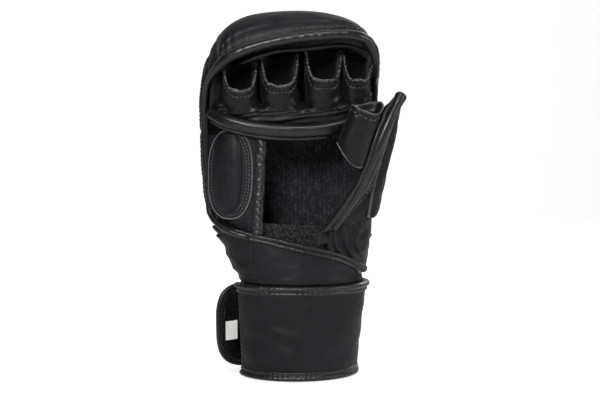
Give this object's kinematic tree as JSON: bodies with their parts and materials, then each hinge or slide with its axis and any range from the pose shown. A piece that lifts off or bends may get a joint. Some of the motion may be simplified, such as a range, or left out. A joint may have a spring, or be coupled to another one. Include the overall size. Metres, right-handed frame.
{
  "type": "open-palm sparring glove",
  "caption": "Right-hand open-palm sparring glove with padded finger guard, open finger loops, open thumb and wrap-around hook-and-loop wrist strap.",
  "frame": {"origin": "centre of the cuff opening at its lower edge", "axes": "+Z from the wrist to the fingertips, -Y out of the palm, +X towards the thumb"},
  "size_m": [0.1545, 0.1115, 0.2757],
  "materials": {
    "shell_leather": "matte",
    "edge_binding": "semi-gloss",
    "piping": "semi-gloss",
    "foam": "matte",
    "lining": "matte",
    "towelling": "matte",
    "webbing": "matte",
    "loop_pile": "matte",
    "hook_tape": "matte",
    "label": "matte"
  },
  "bodies": {
    "cuff": {"cuff_cover": "shell_leather", "cuff_foam": "foam", "cuff_lining": "lining", "cuff_bottom_binding": "edge_binding", "loop_patch": "loop_pile", "size_label": "label", "wrist_gusset": "shell_leather", "wrist_flap": "shell_leather", "flap_binding": "edge_binding", "palm_strip": "towelling"},
    "hand": {"back_cover": "shell_leather", "back_foam": "foam", "back_lining": "lining", "hand_piping": "piping", "heel_panel": "shell_leather", "heel_patch": "shell_leather", "heel_pad": "shell_leather", "heel_binding": "edge_binding", "thumb_side_panel": "shell_leather", "thumb_foot_tab": "webbing", "thumb_base_panel": "shell_leather"},
    "guard": {"guard_cover": "shell_leather", "guard_foam": "foam", "guard_lining": "lining", "guard_piping": "piping", "palm_bar_cover": "shell_leather", "palm_bar_core": "foam", "palm_bar_upper": "shell_leather"},
    "little_finger": {"little_loop": "shell_leather", "little_loop_rim": "edge_binding"},
    "ring_finger": {"ring_loop": "shell_leather", "ring_loop_rim": "edge_binding"},
    "middle_finger": {"middle_loop": "shell_leather", "middle_loop_rim": "edge_binding"},
    "index_finger": {"index_loop": "shell_leather", "index_loop_rim": "edge_binding"},
    "thumb": {"thumb_loop": "shell_leather", "thumb_loop_rim": "edge_binding", "thumb_piping": "piping", "thumb_gusset": "shell_leather", "thumb_pad_cover": "shell_leather", "thumb_pad_foam": "foam"},
    "strap_front": {"strap_front": "shell_leather", "strap_front_top_binding": "edge_binding", "strap_front_bottom_binding": "edge_binding"},
    "strap_back": {"strap_back": "shell_leather", "strap_back_top_binding": "edge_binding", "strap_back_bottom_binding": "edge_binding"},
    "strap_tab": {"strap_tab": "shell_leather", "tab_binding": "edge_binding", "hook_patch": "hook_tape"}
  },
  "joints": [
    {"name": "wrist_flex", "type": "hinge", "parent": "cuff", "child": "hand", "pos_m": [-0.002, 0, 0.092], "axis": [1, 0, 0], "range_deg": [-15, 15], "stiffness_Nm_per_rad": 3, "deforming": ["wrist_gusset", "wrist_flap", "flap_binding"]},
    {"name": "guard_flex", "type": "hinge", "parent": "hand", "child": "guard", "pos_m": [-0.009, -0.03, 0.19], "axis": [1, 0, 0], "range_deg": [0, 15], "stiffness_Nm_per_rad": 2.5},
    {"name": "little_finger_curl", "type": "hinge", "parent": "guard", "child": "little_finger", "pos_m": [-0.0462, -0.0305, 0.2065], "axis": [1, 0, 0], "range_deg": [-5, 15], "stiffness_Nm_per_rad": 0.2},
    {"name": "ring_finger_curl", "type": "hinge", "parent": "guard", "child": "ring_finger", "pos_m": [-0.0183, -0.0305, 0.2065], "axis": [1, 0, 0], "range_deg": [-5, 15], "stiffness_Nm_per_rad": 0.2},
    {"name": "middle_finger_curl", "type": "hinge", "parent": "guard", "child": "middle_finger", "pos_m": [0.0135, -0.0305, 0.2065], "axis": [1, 0, 0], "range_deg": [-5, 15], "stiffness_Nm_per_rad": 0.2},
    {"name": "index_finger_curl", "type": "hinge", "parent": "guard", "child": "index_finger", "pos_m": [0.038, -0.0305, 0.2065], "axis": [1, 0, 0], "range_deg": [-5, 15], "stiffness_Nm_per_rad": 0.2},
    {"name": "thumb_swing", "type": "hinge", "parent": "hand", "child": "thumb", "pos_m": [0.04, -0.03, 0.118], "axis": [0, 1, 0], "range_deg": [-5, 25], "stiffness_Nm_per_rad": 1},
    {"name": "strap_unwrap", "type": "hinge", "parent": "cuff", "child": "strap_front", "pos_m": [-0.0505, -0.0062, 0.036], "axis": [0, 0, -1], "range_deg": [0, 30], "stiffness_Nm_per_rad": 0.3},
    {"name": "strap_peel", "type": "hinge", "parent": "strap_front", "child": "strap_back", "pos_m": [0.0512, -0.0044, 0.036], "axis": [0, 0, -1], "range_deg": [0, 150], "stiffness_Nm_per_rad": 0.05},
    {"name": "tab_lift", "type": "hinge", "parent": "strap_back", "child": "strap_tab", "pos_m": [-0.0207, 0.0311, 0.036], "axis": [0, 0, -1], "range_deg": [0, 60], "stiffness_Nm_per_rad": 0.03}
  ],
  "couplings": [
    {"joint": "strap_unwrap", "follows": "strap_peel", "ratio": 0.2}
  ]
}
